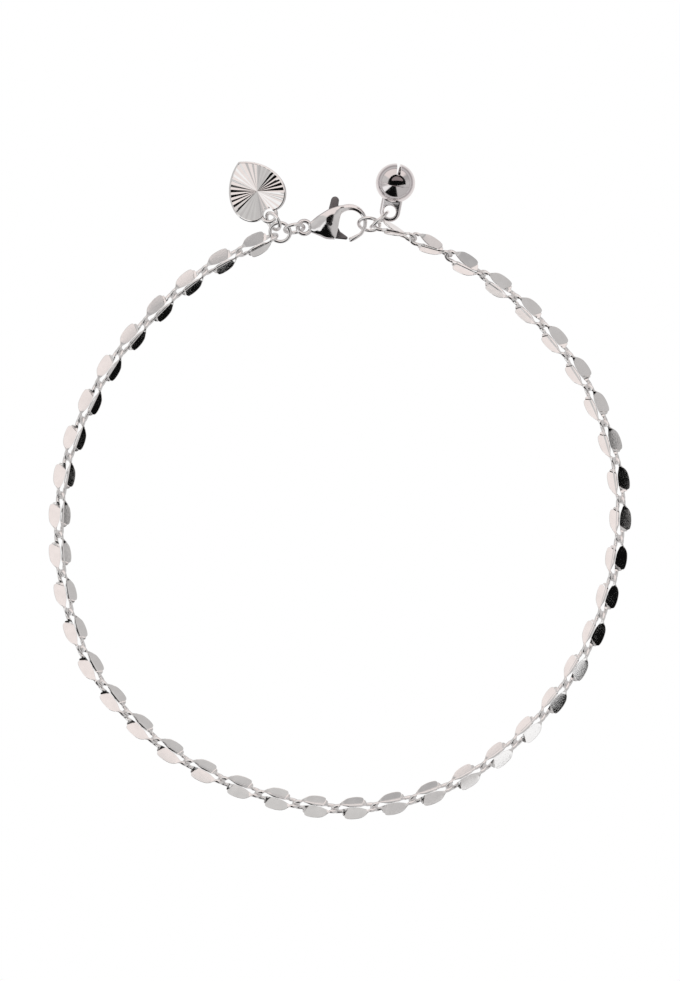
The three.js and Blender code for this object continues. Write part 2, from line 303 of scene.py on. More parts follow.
def pole_to_pole(name, start, rings, end):
    """A solid through rings of points, with a fan of triangles to a point at each end."""
    columns = len(rings[0])
    points = [start, end] + [p for ring in rings for p in ring]
    faces = [tuple(2 + i for i in face) for face in grid_faces(len(rings), columns)]
    last = 2 + (len(rings) - 1) * columns
    for c in range(columns):
        after = (c + 1) % columns
        faces.append((0, 2 + c, 2 + after))
        faces.append((1, last + after, last + c))
    return make_mesh(name, points, faces)


def lathe(name, profile, steps):
    """A solid of revolution about +X through (along, radius) points that end on the axis."""
    rings = [circle(X * along, Y, Z, radius, steps) for along, radius in profile[1:-1]]
    return pole_to_pole(name, X * profile[0][0], rings, X * profile[-1][0])


def circle(centre, out, up, radius, steps, height=None):
    """Points round a circle in the plane of out and up, or round an ellipse of some height."""
    rise = height or radius
    return [
        centre + out * (radius * math.cos(turn)) + up * (rise * math.sin(turn))
        for turn in turns_round(steps)
    ]


def level_ring(centre, radius, wire, steps, corners, height=None):
    """A closed ring of wire that lies level round its centre."""
    outs = [flat(turn) for turn in turns_round(steps)]
    sections = [circle(centre + out * radius, out, Z, wire, corners, height) for out in outs]
    return loft("ring", sections, closed=True)


def post(centre, radius, reach, steps):
    """An upright round bar that reaches as far above its centre as below it."""
    return loft("post", [circle(centre + Z * z, X, Y, radius, steps) for z in (-reach, reach)])


def combine(base, tool, operation):
    """The boolean of two meshes in one frame, as a new mesh. Both inputs are used up."""
    holders = [bpy.data.objects.new("part", mesh) for mesh in (base, tool)]
    for holder in holders:
        bpy.context.scene.collection.objects.link(holder)
    cut = holders[0].modifiers.new("boolean", "BOOLEAN")
    cut.object = holders[1]
    cut.operation = operation
    cut.solver = "MANIFOLD"
    graph = bpy.context.evaluated_depsgraph_get()
    result = bpy.data.meshes.new_from_object(holders[0].evaluated_get(graph))
    for holder in holders:
        bpy.data.objects.remove(holder)
    for mesh in (base, tool):
        bpy.data.meshes.remove(mesh)
    if not result.polygons:
        raise RuntimeError("a boolean left nothing")
    return result


def add_piece(name, mesh, place, material, body, node):
    """Shows a mesh as a piece that stands for one node of the frame."""
    mesh.name = name
    mesh.transform(place)
    mesh.materials.clear()
    mesh.materials.append(material)
    piece = bpy.data.objects.new(name, mesh)
    bpy.context.scene.collection.objects.link(piece)
    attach(piece, body)
    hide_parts(node)
    return piece


# ---- Places taken from the frame ----


def node_points(node):
    """A node's corners in millimetres."""
    return [v.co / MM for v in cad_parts[node].data.vertices]


def placed(x, y, z, origin):
    """A matrix with these axes and this origin, given in millimetres."""
    matrix = Matrix((x, y, z)).transposed().to_4x4()
    matrix.translation = origin * MM
    return matrix


def own_axes(node):
    """Centroid and axes of a node's surface, from its widest spread to its narrowest."""
    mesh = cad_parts[node].data
    mesh.calc_loop_triangles()
    corners = np.array([v.co for v in mesh.vertices]) / MM
    triangles = corners[np.array([t.vertices for t in mesh.loop_triangles])]
    sides = triangles[:, 1:] - triangles[:, :1]
    areas = np.linalg.norm(np.cross(sides[:, 0], sides[:, 1]), axis=1) / 2
    middles = triangles.mean(axis=1)
    centre = (middles * areas[:, None]).sum(0) / areas.sum()
    halves = (triangles + np.roll(triangles, 1, axis=1)) / 2 - centre
    spread = np.einsum("t,tki,tkj->ij", areas / 3, halves, halves)
    _, vectors = np.linalg.eigh(spread)
    return Vector(centre), [Vector(vectors[:, i]) for i in (2, 1, 0)]


def link_place(node):
    """A link's frame and half length: x runs clockwise round the bracelet, y outwards."""
    points = node_points(node)
    tip = tail = points[0]
    for _ in range(3):
        tip = max(points, key=lambda p: (p - tail).length_squared)
        tail = max(points, key=lambda p: (p - tip).length_squared)
    middle = (tip + tail) / 2
    along = (tip - tail).normalized()
    if along.dot(middle.cross(Z)) < 0:
        along.negate()
    edges = [p - middle for p in points]
    edges = [e - along * e.dot(along) for e in edges]
    outward = max(edges, key=lambda e: e.length_squared).normalized()
    return placed(along, outward, along.cross(outward), middle), (tip - tail).length / 2


def ring_place(node):
    """A jump ring's frame and outside radius: z is its axis."""
    centre, axes = own_axes(node)
    outside = max((p - centre).length for p in node_points(node))
    return placed(axes[1].cross(axes[2]), axes[1], axes[2], centre), outside


# ---- Chain ----

LOOP_STEPS = 12
GRAIN_SHIFT = Vector((0.011, 0.007))    # in metres, from each link's grain to the next one's
STRAIGHT = 1.5      # half of the stretch where both wires run side by side
CUT = 1.04          # where a petal's face ends bluntly
STEP = 0.12         # length and depth of the step down beyond it
SHOULDER = 1.66     # where the low shoulder beyond the step runs out

# Reach of a petal's outer and inner edges from the link's own line, by place along it.
OUTER_EDGE = [
    (-2.1, 0.78), (-1.8, 0.92), (-1.4, 1.2), (-1.0, 1.41), (-0.5, 1.52), (0.0, 1.57),
    (0.35, 1.57), (0.65, 1.5), (0.87, 1.36), (CUT, 1.13), (1.2, 1.06), (1.34, 1.02),
    (1.48, 0.96), (1.58, 0.86), (SHOULDER, 0.74),
]
INNER_EDGE = [(-2.1, 0.4), (-1.5, 0.2), (-0.8, 0.0), (0.0, -0.05), (CUT, -0.05), (1.5, 0.06)]
# Petals bent from their own link's plane, in degrees, by the link's number: outer and inner.
BENT = {
    2: (9, 0), 11: (-3.6, 0), 15: (3.2, 0), 40: (0, -2), 41: (0, -4), 42: (0, -6), 43: (5, 0),
}
SPREAD_START = (-2.2, -1.96)    # where round wire spreads into the petal
SPREAD_END = (SHOULDER - 0.06, SHOULDER + 0.14)
SLANT_END = 1.9         # where the blunt end's slant has faded
LEAST_WIDTH = 0.3       # of a petal from the wire's middle
INNER_LIP = 0.15        # how much further in the inner petal's own edge lies
RIDGE_EDGE = 0.22       # where the wire's ridge runs out under the petal
RIDGE_DEPTH = 0.23
SHOULDER_SLOPES = 0.08  # largest rise of a shoulder from one link to another
STATIONS = (
    [-2.22, -2.14, -2.06, -1.98] + [-1.9 + 0.15 * k for k in range(8)]
    + [-0.7 + 0.2 * k for k in range(6)] + [0.42, 0.53, 0.64, 0.74, 0.83, 0.91, 0.98]
    + [CUT, CUT + 0.01, CUT + 0.5 * STEP, CUT + STEP, CUT + STEP + 0.02, 1.27, 1.36, 1.45, 1.54]
    + [SHOULDER, 1.74, 1.84, 1.94, 2.05, 2.18]
)


def petal_section(width, inner, lift, sizes):
    """24 corners of a full petal as (out, up) from the wire's middle, flat side up."""
    blade = sizes["blade"]
    floor = lift - blade
    root = min(RIDGE_EDGE, width - 0.05)
    corners = [(width, lift - 0.5 * blade), (width - 0.01, lift - 0.03), (width - 0.04, lift)]
    for part in (0.85, 0.7, 0.55, 0.4, 0.25, 0.12, 0.0):
        dome = sizes["crown"] * (1 - (2 * part - 1) ** 2)
        corners.append((lerp(0.03 - inner, width - 0.04, part), lift + dome))
    corners += [(0.008 - inner, lift - 0.022), (-inner, lift - 0.045), (-inner, lift - 0.5 * blade)]
    centre, half = (root - inner) / 2, (root + inner) / 2
    for degrees in (195, 220, 245, 270, 300, 330, 360):
        turn = math.radians(degrees)
        corners.append((centre + half * math.cos(turn), floor + RIDGE_DEPTH * math.sin(turn)))
    corners += [(lerp(root, width, part), floor) for part in (0.15, 0.5)]
    return corners + [(width - 0.05, floor + 0.005), (width - 0.012, floor + 0.03)]


def blend_section(spread, petal, side, sizes):
    """Corners between round wire and petal. The inner petal is turned over, ridge up."""
    corners = []
    for i, (out, up) in enumerate(petal):
        if side < 0:
            out, up = petal[-i]
        turn = 2 * math.pi * i / len(petal)
        corners.append((
            lerp(sizes["wire"] * math.cos(turn), out, spread),
            lerp(sizes["wire"] * math.sin(turn), up * side, spread),
        ))
    return corners


def strand_middle(x, loop_x, sizes):
    """Middle of the wire at a place along the link."""
    side_y = sizes["loop"] * math.cos(sizes["turn"])
    side_z = sizes["loop"] * math.sin(sizes["turn"])
    lean = side_z / loop_x
    if abs(x) <= STRAIGHT:
        return Vector((x, sizes["core"], -x * lean))
    span = loop_x - STRAIGHT
    t = (abs(x) - STRAIGHT) / span
    y = hermite(t, sizes["core"], 0, side_y, 0)
    z = hermite(t, -STRAIGHT * lean, -lean * span, -side_z, 0)
    return Vector((x, y, z if x > 0 else -z))


def face_height(x, lean, sizes):
    """The face's height: it drops at the cut, and the shoulder beyond it lies level."""
    drop = min(STEP, max(0, x - CUT))
    rise = (lean + sizes["shoulder"]) * max(0, x - CUT - STEP)
    return sizes["lift"] - drop + rise


def strand_sections(loop_x, side, tilt, sizes):
    """One long side of a link and the loop after it."""
    sections = []
    small = 0.001
    lean = sizes["loop"] * math.sin(sizes["turn"]) / loop_x
    stretch = 1 if side > 0 else sizes["inner"]
    for station in STATIONS:
        x = station * (stretch if abs(station) < STRAIGHT else 1)
        middle = strand_middle(x, loop_x, sizes)
        ahead = strand_middle(x + small, loop_x, sizes) - strand_middle(x - small, loop_x, sizes)
        along = ahead.normalized()
        spread = smoothstep(*SPREAD_START, station) * (1 - smoothstep(*SPREAD_END, station))
        ends = math.copysign(smoothstep(STRAIGHT, loop_x, abs(x)), x)
        turn = tilt * spread - sizes["turn"] * ends
        out = Vector((0, math.cos(turn), math.sin(turn)))
        out = (out - along * out.dot(along)).normalized()
        up = along.cross(out)
        width = curve_through(OUTER_EDGE, station) * (0.5 + 0.5 * stretch) - middle.y
        inner = middle.y - curve_through(INNER_EDGE, station) - (0 if side > 0 else INNER_LIP)
        height = face_height(station, lean, sizes)
        petal = petal_section(max(width, LEAST_WIDTH), inner, height, sizes)
        slant = sizes["slant"] * smoothstep(0, CUT, station)
        slant *= 1 - smoothstep(CUT + STEP, SLANT_END, station)
        sections.append([
            middle + out * o + up * u + along * (slant * o)
            for o, u in blend_section(spread, petal, side, sizes)
        ])
    across = Vector((0, math.cos(sizes["turn"]), -math.sin(sizes["turn"])))
    up = Vector((0, math.sin(sizes["turn"]), math.cos(sizes["turn"])))
    wire = blend_section(0, petal, side, sizes)
    for step in range(LOOP_STEPS):
        bend = math.pi * (0.5 - step / LOOP_STEPS)
        out = Vector((math.cos(bend), 0, 0)) + across * math.sin(bend)
        middle = Vector((loop_x, 0, 0)) + out * sizes["loop"]
        sections.append([middle + out * o + up * u for o, u in wire])
    return sections


def link_mesh(name, half_length, tilts, sizes):
    loop_x = half_length - sizes["loop"] - sizes["wire"]
    sections = strand_sections(loop_x, 1, tilts[0], sizes)
    for section in strand_sections(loop_x, -1, tilts[1], sizes):
        sections.append([Vector((-p.x, -p.y, p.z)) for p in section])
    return loft(name, sections, closed=True, kind="link")


def add_grain_map(mesh, number):
    """Maps the rolled grain along the link, at another place of the pattern for each."""
    corner_uvs = mesh.uv_layers.new(name="grain").data
    for loop in mesh.loops:
        point = mesh.vertices[loop.vertex_index].co
        corner_uvs[loop.index].uv = point.xy + GRAIN_SHIFT * number


class BRACELET_OT_chain(bpy.types.Operator):
    """Builds the petal links, each in the place of its own link in the frame"""

    bl_idname = "bracelet.chain"
    bl_label = "Chain"

    def execute(self, context):
        settings = context.scene.bracelet_chain
        lengths = ("wire", "loop", "core", "lift", "blade", "crown")
        sizes = {name: getattr(settings, name) / MM for name in lengths}
        sizes |= {"turn": settings.loop_turn, "slant": settings.slant, "inner": settings.inner}
        draw = random.Random(settings.seed)
        material = chain_silver(context.scene.bracelet_finish)
        for number, node in enumerate(LINK_NODES, start=1):
            place, half_length = link_place(node)
            outer, inner = (math.radians(bend) for bend in BENT.get(number, (0, 0)))
            tilts = [outer + settings.roll, inner - settings.roll]
            tilts = [tilt + draw.uniform(-1, 1) * settings.unevenness for tilt in tilts]
            sizes["shoulder"] = draw.uniform(-SHOULDER_SLOPES, SHOULDER_SLOPES)
            name = f"petal_link_{number:02d}"
            mesh = link_mesh(name, half_length, tilts, sizes)
            add_grain_map(mesh, number)
            add_piece(name, mesh, place, material, "bracelet", node)
        return {"FINISHED"}


# ---- Jump rings ----

RING_STEPS = 72
RING_CORNERS = 18


def jump_ring_mesh(name, radius, wire, cut):
    """A ring of round wire whose two sawn ends nearly touch."""
    sections = []
    for step in range(RING_STEPS + 1):
        out = flat(cut / 2 + (2 * math.pi - cut) * step / RING_STEPS)
        sections.append(circle(out * radius, out, Z, wire, RING_CORNERS))
    return loft(name, sections, kind="ring")


class BRACELET_OT_jump_rings(bpy.types.Operator):
    """Builds the five jump rings"""

    bl_idname = "bracelet.jump_rings"
    bl_label = "Jump rings"

    def execute(self, context):
        settings = context.scene.bracelet_rings
        wire = settings.wire / MM
        material = wire_silver(context.scene.bracelet_finish)
        for node in RING_NODES:
            place, outside = ring_place(node)
            name = node.replace("_ring", "_jump_ring")
            mesh = jump_ring_mesh(name, outside - wire, wire, settings.cut)
            add_piece(name, mesh, place, material, "bracelet", node)
        return {"FINISHED"}


# ---- Heart ----

HEART_TIP = 4.93
# One side from the tip to the notch: each curve's two pulls, its end and its steps.
HEART_CURVES = [
    ((1.95, 4.15), (4.02, 2.0), (4.02, -0.73), 40),
    ((4.02, -2.2), (2.9, -3.68), (1.5, -3.68), 24),
    ((0.9, -3.68), (0.35, -3.4), (0, -3.05), 16),
]
HEART_EYE = Vector((0, -3.63, 0))
HEART_EYE_INSIDE = 0.8
HOLE_REACH = 1.0
HOLE_STEPS = 64
EYE_STEPS = 96
EYE_CORNERS = 20
RAY_CENTRE = Vector((0.24, 0.0))
RAY_PARTS = 3           # angular steps on each side of a cut
RAY_STRAY = 0.07        # how far a ridge strays, of the pitch
STEEP_SHARE = (0.38, 0.5)      # how much of a cut's width its steep side takes
SLOPE_SHARE = (0.75, 1.25)     # of the usual slope, from cut to cut
# Where the cutter ran shallower: bearings from the eye's right, and the share of the slope.
SHALLOW = [(-55, -34, 0.43), (4, 22, 0.7)]
CUT_PARTS = (0.03, 0.12, 0.25, 0.4, 0.55, 0.7, 0.85, 1.0)
CUT_LIP = 0.04          # from a cut's end to the plain border
# The plate's rounded edges: in from the outline, and down from the face or up from the back.
FACE_EDGE = [(0.12, 0.02), (0.03, 0.09), (0, 0.2)]
BACK_EDGE = [(0, 0.1), (0.03, 0.03), (0.1, 0)]


def heart_side(side):
    """One side of the outline, from the tip to the notch."""
    points = [Vector((0, HEART_TIP))]
    for *corners, steps in HEART_CURVES:
        points += bezier(points[-1], *[Vector((x * side, y)) for x, y in corners], steps)
    return points


def outline_reach(outline, centre, turn):
    """Distance from centre to the outline in one direction."""
    heading = flat(turn).xy
    across = heading.orthogonal()
    best = 0.0
    for a, b in zip(outline, outline[1:] + outline[:1]):
        low, high = (a - centre).dot(across), (b - centre).dot(across)
        if low * high > 0 or low == high:
            continue
        hit = a.lerp(b, low / (low - high)) - centre
        best = max(best, hit.dot(heading))
    return best


def cut_share(turn):
    """How steep the cut at a bearing is, of the usual slope."""
    degrees = (math.degrees(turn) + 180) % 360 - 180
    for low, high, share_there in SHALLOW:
        if low <= degrees <= high:
            return share_there
    return 1.0


def ray_turns(settings, draw):
    """Directions across the fan, each with how far it lies from the nearest ridge."""
    pitch = 2 * math.pi / settings.rays
    ridges = [pitch * (k + draw.uniform(-RAY_STRAY, RAY_STRAY)) for k in range(settings.rays)]
    ridges.append(ridges[0] + 2 * math.pi)
    turns = []
    for ridge, after in zip(ridges, ridges[1:]):
        valley = lerp(ridge, after, draw.uniform(*STEEP_SHARE))
        slope = math.tan(settings.slope * draw.uniform(*SLOPE_SHARE) * cut_share(valley))
        for part in range(RAY_PARTS):
            turn = lerp(ridge, valley, part / RAY_PARTS)
            turns.append((turn, math.sin(turn - ridge) * slope))
        depth = math.sin(valley - ridge) * slope
        for part in range(RAY_PARTS):
            turns.append((lerp(valley, after, part / RAY_PARTS), lerp(depth, 0, part / RAY_PARTS)))
    return turns


def heart_plate(settings):
    """The ray-cut plate as a closed fan of rings round the cuts' meeting point."""
    thickness, rim = settings.thickness / MM, settings.rim / MM
    outline = heart_side(1) + heart_side(-1)[-2:0:-1]
    spokes = []
    for turn, depth in ray_turns(settings, random.Random(settings.seed)):
        edge = outline_reach(outline, RAY_CENTRE, turn)
        cut = edge - rim
        levels = [(cut * part, thickness - cut * part * depth) for part in CUT_PARTS]
        levels.append((cut + CUT_LIP, thickness))
        levels += [(edge - inset, thickness - drop) for inset, drop in FACE_EDGE]
        levels += [(edge - inset, height) for inset, height in BACK_EDGE]
        middle = RAY_CENTRE.to_3d()
        spokes.append([middle + flat(turn) * reach + Z * height for reach, height in levels])
    top = Vector((*RAY_CENTRE, thickness))
    rings = list(zip(*spokes))
    return pole_to_pole("heart_plate", top, rings, RAY_CENTRE.to_3d())


def heart_place():
    """The heart's frame: y runs from its eye to its tip, z is up out of its face."""
    centre, axes = own_axes("heart_charm")
    normal = axes[2] if axes[2].z > 0 else -axes[2]
    points = node_points("heart_charm")
    ring_centre, _ = own_axes("heart_ring")
    along = max(axes[:2], key=lambda axis: np.ptp(span(points, axis)))
    if along.dot(centre - ring_centre) < 0:
        along = -along
    across = along.cross(normal)
    origin = across * centre.dot(across) + along * (span(points, along)[1] - HEART_TIP)
    return placed(across, along, normal, origin + normal * span(points, normal)[0])


class BRACELET_OT_heart(bpy.types.Operator):
    """Builds the ray-cut heart with its soldered eye"""

    bl_idname = "bracelet.heart"
    bl_label = "Heart"

    def execute(self, context):
        settings = context.scene.bracelet_heart
        wire = settings.eye / MM
        middle = HEART_EYE + Z * (settings.thickness / MM / 2)
        hole = post(middle, HEART_EYE_INSIDE, HOLE_REACH, HOLE_STEPS)
        eye = level_ring(middle, HEART_EYE_INSIDE + wire, wire, EYE_STEPS, EYE_CORNERS)
        plate = combine(heart_plate(settings), hole, "DIFFERENCE")
        mesh = combine(plate, eye, "UNION")
        sharpen(mesh, "heart")
        material = heart_silver(context.scene.bracelet_finish)
        add_piece("ray_heart", mesh, heart_place(), material, "bracelet", "heart_charm")
        return {"FINISHED"}


# ---- Bell ----

BAIL_REACH = 4.1
BAIL_OUTSIDE = 1.45
BAIL_INSIDE = 0.85
BAIL_HALF_THICKNESS = 0.31
BAIL_ROOT = 2.3
SEAM_PLACE = -0.1       # from the bell's middle towards its bail
SEAM_HALF_WIDTH = 0.06
BELL_STEPS = 96
BELL_ROWS = 60
SLIT_STEPS = 16
SLIT_REACH = 1.6        # of the bell's radius, above and below it
BAIL_STEPS = 48
HOLE_FLARE_STEPS = 64
BAIL_SIDES = (3.4, 2.8, BAIL_ROOT)
# The bail's rounded edge, from its face to its middle: the inset and the height's share.
BAIL_EDGE = [(0.3, 1), (0.24, 0.97), (0.12, 0.85), (0.04, 0.6), (0, 0.25)]
# The bail's eye from the middle to beyond its face: the height and the flare.
BAIL_FLARE = [(0.2, 0.03), (0.31, 0.16), (0.6, 0.5)]


def bell_profile(radius, seam_depth):
    """Half outline from the slit's pole to the bail's pole, with the seam's groove."""
    rows = []
    for step in range(BELL_ROWS + 1):
        turn = math.pi * (1 - step / BELL_ROWS)
        along, across = radius * math.cos(turn), radius * math.sin(turn)
        nearness = 1 - min(1, abs(along - SEAM_PLACE) / SEAM_HALF_WIDTH)
        rows.append((along, max(0, across - seam_depth * nearness)))
    rows[0] = (-radius, 0)
    rows[-1] = (radius, 0)
    extra = [SEAM_PLACE - SEAM_HALF_WIDTH, SEAM_PLACE, SEAM_PLACE + SEAM_HALF_WIDTH]
    for along in extra if seam_depth else []:
        across = math.sqrt(radius * radius - along * along)
        rows.append((along, across - (seam_depth if along == SEAM_PLACE else 0)))
    return sorted(rows)


def bail_mesh():
    """A stamped loop with rounded edges, whose root is sunk into the bell's wall."""
    turns = [math.pi * (step / BAIL_STEPS - 0.5) for step in range(BAIL_STEPS + 1)]
    outline = [(flat(turn), BAIL_REACH) for turn in turns]
    outline += [(Y, along) for along in BAIL_SIDES]
    outline += [(-Y, along) for along in reversed(BAIL_SIDES)]
    edge = BAIL_EDGE + [(inset, -height) for inset, height in reversed(BAIL_EDGE)]
    return loft("bail", [
        [X * along + out * (BAIL_OUTSIDE - inset) + Z * (BAIL_HALF_THICKNESS * height)
         for out, along in outline]
        for inset, height in edge
    ])


def bail_hole():
    """The tool that cuts the bail's eye, flared towards both faces."""
    flare = [(-height, grow) for height, grow in reversed(BAIL_FLARE)] + [(0, 0)] + BAIL_FLARE
    return loft("bail_hole", [
        circle(X * BAIL_REACH + Z * height, X, Y, BAIL_INSIDE + grow, HOLE_FLARE_STEPS)
        for height, grow in flare
    ])


def slit_tool(settings):
    """A flat blade with a round end that cuts the slit."""
    radius = settings.radius / MM
    half = settings.slit / MM / 2
    end = X * (-settings.slit_end / MM - half)
    turns = [math.pi * (step / SLIT_STEPS - 0.5) for step in range(SLIT_STEPS + 1)]
    outline = [X * (-2 * radius) + Y * side for side in (half, -half)]
    outline += [end + flat(turn) * half for turn in turns]
    lift = Z * (SLIT_REACH * radius)
    slant = Matrix.Rotation(settings.slit_roll, 3, "X")
    slant = slant @ Matrix.Rotation(settings.slit_tilt, 3, "Y")
    return loft("slit", [[slant @ (p + lift * side) for p in outline] for side in (-1, 1)])


def bell_place():
    """The bell's frame: x runs to its bail, z is across the bail's plate."""
    _, axes = own_axes("bell")
    ring_centre, _ = own_axes("bell_ring")
    points = node_points("bell")
    low, high = (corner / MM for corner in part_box("bell"))
    along = axes[0]
    if along.dot(ring_centre - (low + high) / 2) < 0:
        along = -along
    across = axes[2] if axes[2].z > 0 else -axes[2]
    side = across.cross(along)
    radius = bpy.context.scene.bracelet_bell.radius / MM
    centre = along * (span(points, along)[1] - BAIL_REACH - BAIL_OUTSIDE)
    centre += side * (sum(span(points, side)) / 2)
    centre += across * (span(points, across)[1] - radius)
    return placed(along, side, across, centre)


class BRACELET_OT_bell(bpy.types.Operator):
    """Builds the hollow slit bell with its bail"""

    bl_idname = "bracelet.bell"
    bl_label = "Bell"

    def execute(self, context):
        settings = context.scene.bracelet_bell
        radius, wall = settings.radius / MM, settings.wall / MM
        shell = lathe("shell", bell_profile(radius, settings.seam / MM), BELL_STEPS)
        hollow = lathe("hollow", bell_profile(radius - wall, 0), BELL_STEPS)
        bail = combine(bail_mesh(), bail_hole(), "DIFFERENCE")
        mesh = combine(shell, bail, "UNION")
        mesh = combine(mesh, hollow, "DIFFERENCE")
        mesh = combine(mesh, slit_tool(settings), "DIFFERENCE")
        sharpen(mesh, "bell")
        material = bell_silver(context.scene.bracelet_finish)
        add_piece("slit_bell", mesh, bell_place(), material, "bracelet", "bell")
        return {"FINISHED"}


# ---- Clasp ----

LEVER_PIVOT = Vector((-2.66, -0.28, 0))
CLASP_EYE = Vector((-6.3, -0.77, 0))
CLASP_EYE_MIDDLE = 0.91
HOOK_OUTSIDE = (Vector((0, 0)), 2.52)
HOOK_INSIDE = (Vector((0.14, -0.21)), 1.82)

# Ribs of the casting from its neck to the hook's start: the inner end, the outer end and
# half the thickness.
BODY_RIBS = [
    ((-5.75, -1.30), (-5.70, -0.20), 0.30),
    ((-5.40, -1.45), (-5.35, 0.05), 0.36),
    ((-5.00, -1.62), (-4.95, 0.42), 0.48),
    ((-4.50, -1.82), (-4.45, 0.82), 0.69),
    ((-4.00, -2.02), (-3.90, 1.18), 0.92),
    ((-3.45, -2.30), (-3.20, 1.62), 1.01),
    ((-2.90, -2.42), (-2.50, 1.97), 1.02),
    ((-2.35, -2.44), (-1.90, 2.18), 1.00),
    ((-1.93, -2.40), (-1.48, 2.28), 0.93),
    ((-1.72, -2.00), (-1.20, 2.33), 0.84),
    ((-1.69, -1.30), (-0.95, 2.37), 0.75),
    ((-1.68, -0.60), (-0.70, 2.42), 0.66),
]
# The hook's ribs: bearings of the inner and outer ends on their circles, and half the
# thickness.
HOOK_RIBS = [(172, 100, 0.60), (158, 93, 0.56), (143, 86, 0.53), (127, 78, 0.51), (110, 70, 0.5)]
HOOK_END = (-25, -25, 0.43)
HOOK_BEND_RIBS = 14     # between the last of them and the hook's end
TIP_RIBS = [
    ((1.40, -1.54), (1.89, -1.75), 0.42),
    ((1.05, -1.72), (1.50, -2.07), 0.39),
    ((0.63, -1.93), (1.05, -2.38), 0.34),
    ((0.30, -2.08), (0.62, -2.62), 0.28),
    ((0.05, -2.18), (0.24, -2.78), 0.21),
    ((-0.08, -2.30), (0.02, -2.72), 0.14),
]
RIB_CORNERS = 28
RIB_POWER = 0.72        # 1 makes a rib's section an ellipse, and less makes it fuller
# How far a thick rib's crest lies from its middle, of its half length, and the half
# thicknesses between which the crest moves there.
CREST = 0.45
CREST_MOVES = (0.5, 0.85)
RIVET_REACH = 0.96      # the rivet's ends, of the thickest rib

LEVER_HUB = (Vector((0, 0)), 0.75)
LEVER_TAB = (Vector((0.66, 3.28)), 0.56)
LEVER_ELBOW = (Vector((0.91, -1.47)), 0.6)
LEVER_NOSE = (Vector((2.19, -1.96)), 0.24)
LEVER_BARS = [(LEVER_HUB, LEVER_TAB), (LEVER_HUB, LEVER_ELBOW), (LEVER_ELBOW, LEVER_NOSE)]
# The lever's rounded edges: shares of its half thickness, and how much its outline grows.
LEVER_LEVELS = [(-1, -0.12), (-0.93, -0.05), (-0.75, -0.01), (-0.4, 0),
                (0.4, 0), (0.75, -0.01), (0.93, -0.05), (1, -0.12)]
BAR_STEPS = 20
SLOT_SWINGS = 5         # places of the lever that are cut out of the casting for its slot
CLASP_EYE_STEPS = 64
EYE_HALF_HEIGHT = 0.38
BORE_REACH = 3.0
BORE_STEPS = 40
RIVET_STEPS = 32
PARTS_PER_RIB = 3
RIVET_BEVEL = 0.01


def on_circle(ring, degrees):
    centre, radius = ring
    return centre + flat(math.radians(degrees)).xy * radius


def all_ribs():
    """Every rib as its inner end, its outer end and half its thickness."""
    bend = list(HOOK_RIBS)
    for step in range(1, HOOK_BEND_RIBS + 1):
        t = step / HOOK_BEND_RIBS
        bend.append([lerp(a, b, t) for a, b in zip(HOOK_RIBS[-1], HOOK_END)])
    ribs = [(Vector(a), Vector(b), half) for a, b, half in BODY_RIBS]
    for inner, outer, half in bend:
        ribs.append((on_circle(HOOK_INSIDE, inner), on_circle(HOOK_OUTSIDE, outer), half))
    return ribs + [(Vector(a), Vector(b), half) for a, b, half in TIP_RIBS]


def smooth_ribs(ribs, parts):
    """Ribs with more between them, along smooth curves."""
    rows = []
    for i in range(len(ribs) - 1):
        before, after = ribs[max(i - 1, 0)], ribs[min(i + 2, len(ribs) - 1)]
        here, there = ribs[i], ribs[i + 1]
        for part in range(parts):
            t = part / parts
            rows.append(tuple(
                hermite(t, here[k], (there[k] - before[k]) / 2, there[k], (after[k] - here[k]) / 2)
                for k in range(3)
            ))
    return rows + [ribs[-1]]


def rib_section(inner, outer, half):
    """A rounded section with a full top, whose crest lies towards its outer end."""
    middle = (inner + outer) / 2
    reach = (outer - inner) / 2
    crest = CREST * smoothstep(*CREST_MOVES, half)
    points = []
    for turn in turns_round(RIB_CORNERS):
        side, height = (
            math.copysign(abs(part) ** RIB_POWER, part) for part in (math.cos(turn), math.sin(turn))
        )
        spot = middle + reach * (side + crest * (1 - side * side))
        points.append(Vector((spot.x, spot.y, half * height)))
    return points


def bar_outline(start, end, grow):
    """Outline of a bar with round ends of two sizes."""
    (a, radius_a), (b, radius_b) = start, end
    gap = b - a
    heading = math.atan2(gap.y, gap.x)
    spread = math.acos((radius_a - radius_b) / gap.length)
    ends = [
        (a, radius_a, heading + spread, heading + 2 * math.pi - spread),
        (b, radius_b, heading - spread, heading + spread),
    ]
    return [
        centre.to_3d() + flat(lerp(first, last, step / BAR_STEPS)) * (radius + grow)
        for centre, radius, first, last in ends
        for step in range(BAR_STEPS + 1)
    ]


def bar_mesh(start, end, half, levels, turn=0.0, origin=Vector((0, 0, 0))):
    """A bar from stacked outlines: each level has a height share and a growth."""
    spin = Matrix.Rotation(turn, 3, "Z")
    return loft("bar", [
        [origin + spin @ (p + Z * (half * height)) for p in bar_outline(start, end, grow)]
        for height, grow in levels
    ])


def lever_mesh(settings):
    half = settings.lever / MM / 2
    mesh, *others = [bar_mesh(start, end, half, LEVER_LEVELS) for start, end in LEVER_BARS]
    for bar in others:
        mesh = combine(mesh, bar, "UNION")
    return combine(mesh, bore_tool(Vector((0, 0, 0)), settings), "DIFFERENCE")


def bore_tool(spot, settings):
    return post(spot, settings.bore / MM, BORE_REACH, BORE_STEPS)


